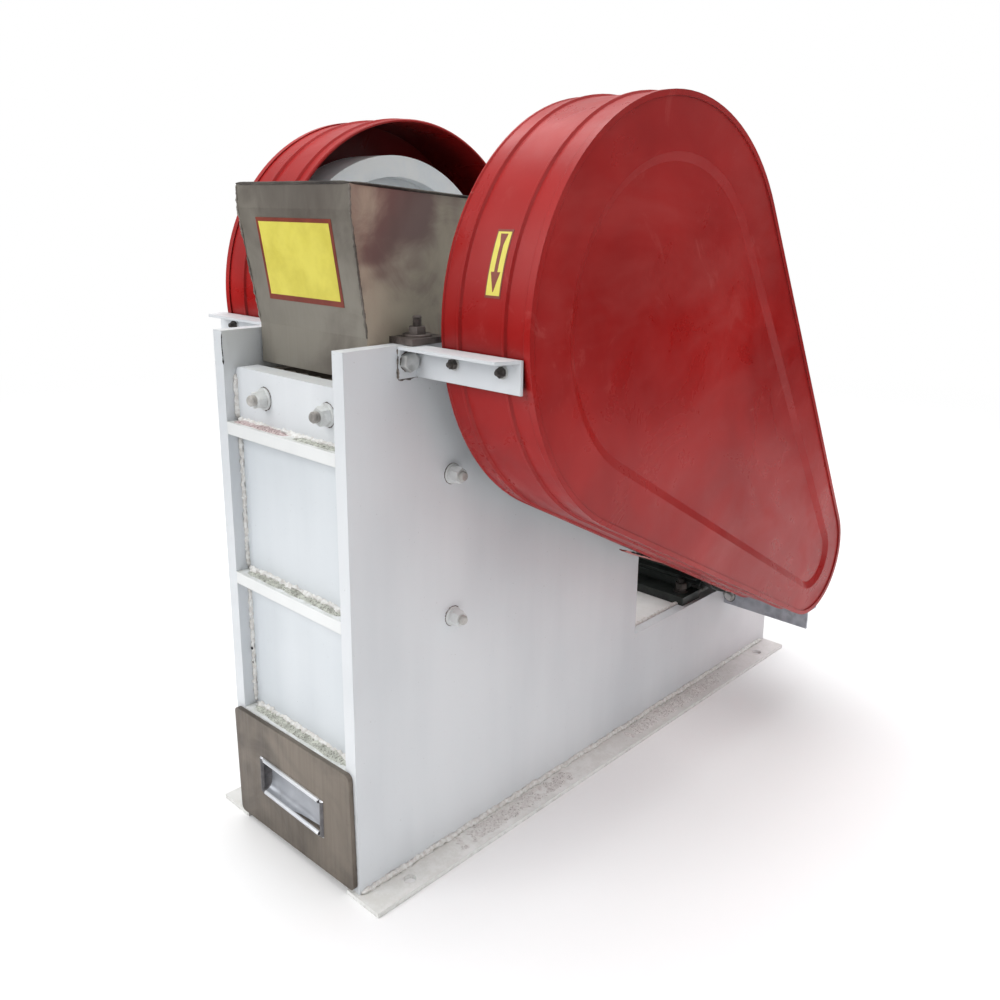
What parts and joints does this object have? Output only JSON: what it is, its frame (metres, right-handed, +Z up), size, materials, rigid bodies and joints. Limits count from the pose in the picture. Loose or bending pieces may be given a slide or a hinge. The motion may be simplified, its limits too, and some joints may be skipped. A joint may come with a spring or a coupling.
{
  "type": "jaw crusher",
  "caption": "Laboratory jaw crusher with plate frame, stainless feed hopper, collecting drawer, guarded flywheel, belt drive and rear motor deck.",
  "frame": {"origin": "centre of the four anchor holes, on the floor under the base strips", "axes": "+X towards the belt guard, -Y towards the drawer, +Y towards the motor, +Z up"},
  "size_m": [0.4905, 0.8295, 0.786],
  "materials": {
    "frame_paint": "semi-gloss, dusty",
    "jaw_steel": "as-cast, worn bright on the teeth",
    "cast_iron": "as-cast",
    "housing_paint": "semi-gloss",
    "shaft_steel": "turned",
    "wheel_paint": "gloss",
    "belt_rubber": "matte",
    "motor_paint": "semi-gloss",
    "guard_red": "gloss",
    "galvanised": "dull galvanised",
    "stainless": "brushed"
  },
  "bodies": {
    "frame": {"base_strips": "frame_paint", "bearing_housing_left": "housing_paint", "bearing_housing_right": "housing_paint", "bearing_seats": "frame_paint", "belt_guard_band": "guard_red", "belt_guard_face": "guard_red", "cheek_plates": "jaw_steel", "deck_end_plate": "frame_paint", "drawer_runners": "frame_paint", "drawer_shelf": "frame_paint", "fixed_jaw": "jaw_steel", "flywheel_guard_band": "guard_red", "flywheel_guard_face": "guard_red", "front_cross_block": "frame_paint", "front_panel": "frame_paint", "front_ribs": "frame_paint", "guard_bracket_front_left": "frame_paint", "guard_bracket_front_right": "frame_paint", "guard_bracket_lower_left": "galvanised", "guard_bracket_rear_right": "galvanised", "hopper": "stainless", "hopper_lugs": "cast_iron", "jaw_backing": "frame_paint", "motor_deck": "frame_paint", "motor_end_shields": "motor_paint", "motor_fan_cowl": "motor_paint", "motor_feet": "motor_paint", "motor_frame": "motor_paint", "motor_pulley": "cast_iron", "motor_shaft": "shaft_steel", "motor_terminal_box": "motor_paint", "rear_ribs": "frame_paint", "rear_wall": "frame_paint", "side_plate_left": "frame_paint", "side_plate_right": "frame_paint", "swing_jaw": "cast_iron", "toggle_beam": "frame_paint", "toggle_plate": "cast_iron", "v_belts": "belt_rubber"},
    "rotor": {"eccentric_shaft": "shaft_steel", "flywheel": "wheel_paint", "belt_pulley": "wheel_paint"},
    "drawer": {"drawer_front": "stainless", "drawer_handle": "stainless", "drawer_tray": "stainless"}
  },
  "joints": [
    {"name": "rotor_spin", "type": "hinge", "parent": "frame", "child": "rotor", "pos_m": [0, -0.13, 0.568], "axis": [1, 0, 0], "continuous": true},
    {"name": "drawer_slide", "type": "slide", "parent": "frame", "child": "drawer", "axis": [0, -1, 0], "range_m": [0, 0.26]}
  ]
}
